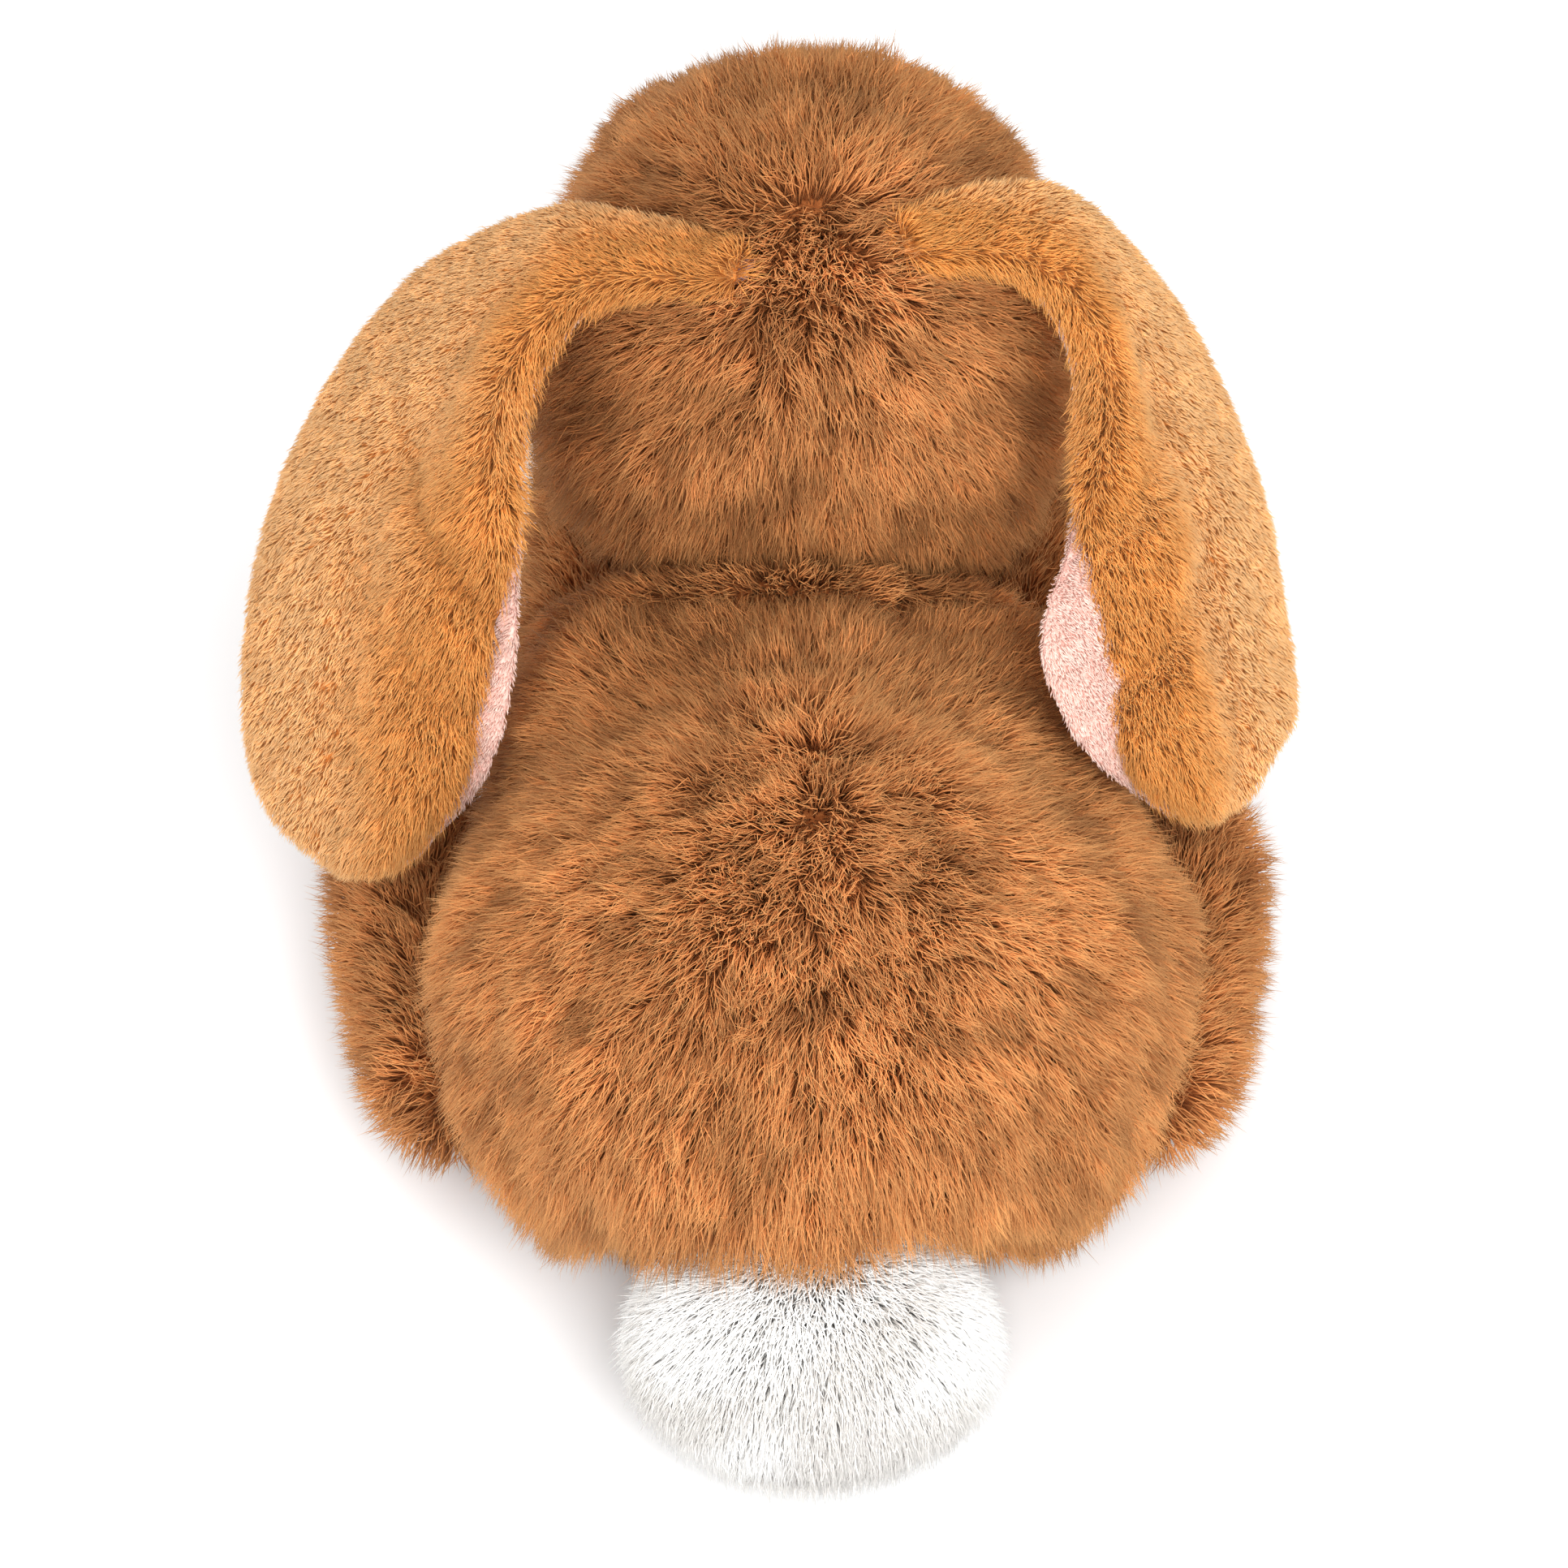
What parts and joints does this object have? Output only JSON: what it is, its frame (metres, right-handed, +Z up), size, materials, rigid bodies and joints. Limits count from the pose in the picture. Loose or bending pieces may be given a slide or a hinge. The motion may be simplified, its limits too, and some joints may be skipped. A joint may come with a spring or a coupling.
{
  "type": "plush rabbit",
  "caption": "Lying plush lop-eared rabbit: long golden-brown pile, hanging ears with pale pink lining, round white tail.",
  "frame": {"origin": "on the flat of the belly that rests on the floor, in the middle plane of the torso", "axes": "+Z up, nose towards -Y, tail towards +Y, the rabbit's left side towards +X"},
  "size_m": [0.2108, 0.313, 0.1527],
  "materials": {
    "pile": "matte",
    "ear_pile": "satin",
    "lining": "matte",
    "tail_pile": "matte",
    "stuffing": "matte",
    "eye_black": "gloss",
    "nose_felt": "matte",
    "thread": "satin"
  },
  "bodies": {
    "torso": {"torso_back_left": "pile", "torso_back_right": "pile", "torso_belly": "pile", "torso_stuffing": "stuffing"},
    "head": {"head_back_left": "pile", "head_back_right": "pile", "head_cheek_left": "pile", "head_cheek_right": "pile", "head_forehead": "pile", "head_chin": "pile", "head_stuffing": "stuffing", "eye_left": "eye_black", "eye_right": "eye_black", "nose": "nose_felt", "mouth_stitch": "thread"},
    "ear_left": {"ear_left_outer": "ear_pile", "ear_left_lining": "lining"},
    "ear_right": {"ear_right_outer": "ear_pile", "ear_right_lining": "lining"},
    "front_leg_left": {"front_leg_left_upper": "pile", "front_leg_left_sole": "pile", "front_leg_left_stuffing": "stuffing"},
    "front_leg_right": {"front_leg_right_upper": "pile", "front_leg_right_sole": "pile", "front_leg_right_stuffing": "stuffing"},
    "hind_leg_left": {"hind_leg_left_upper": "pile", "hind_leg_left_sole": "pile", "hind_leg_left_stuffing": "stuffing"},
    "hind_leg_right": {"hind_leg_right_upper": "pile", "hind_leg_right_sole": "pile", "hind_leg_right_stuffing": "stuffing"},
    "tail": {"tail_cover": "tail_pile", "tail_stuffing": "stuffing"}
  },
  "joints": [
    {"name": "head_nod", "type": "hinge", "parent": "torso", "child": "head", "pos_m": [0, -0.064, 0.078], "axis": [1, 0, 0], "range_deg": [-2, 5], "stiffness_Nm_per_rad": 1.5},
    {"name": "ear_left_lift", "type": "hinge", "parent": "head", "child": "ear_left", "pos_m": [0.015, -0.08, 0.148], "axis": [0, -1, 0], "range_deg": [0, 75]},
    {"name": "front_leg_left_splay", "type": "hinge", "parent": "torso", "child": "front_leg_left", "pos_m": [0.041, -0.046, 0.022], "axis": [0, 0, 1], "range_deg": [0, 15], "stiffness_Nm_per_rad": 0.2},
    {"name": "hind_leg_left_splay", "type": "hinge", "parent": "torso", "child": "hind_leg_left", "pos_m": [0.071, 0.038, 0.021], "axis": [0, 0, 1], "range_deg": [0, 25], "stiffness_Nm_per_rad": 0.2},
    {"name": "ear_right_lift", "type": "hinge", "parent": "head", "child": "ear_right", "pos_m": [-0.019, -0.088, 0.147], "axis": [0, 1, 0], "range_deg": [0, 75]},
    {"name": "front_leg_right_splay", "type": "hinge", "parent": "torso", "child": "front_leg_right", "pos_m": [-0.041, -0.046, 0.022], "axis": [0, 0, -1], "range_deg": [0, 15], "stiffness_Nm_per_rad": 0.2},
    {"name": "hind_leg_right_splay", "type": "hinge", "parent": "torso", "child": "hind_leg_right", "pos_m": [-0.067, 0.038, 0.021], "axis": [0, 0, -1], "range_deg": [0, 25], "stiffness_Nm_per_rad": 0.2},
    {"name": "tail_wag", "type": "hinge", "parent": "torso", "child": "tail", "pos_m": [0, 0.088, 0.0245], "axis": [0, 0, 1], "range_deg": [-10, 10], "stiffness_Nm_per_rad": 0.1}
  ]
}
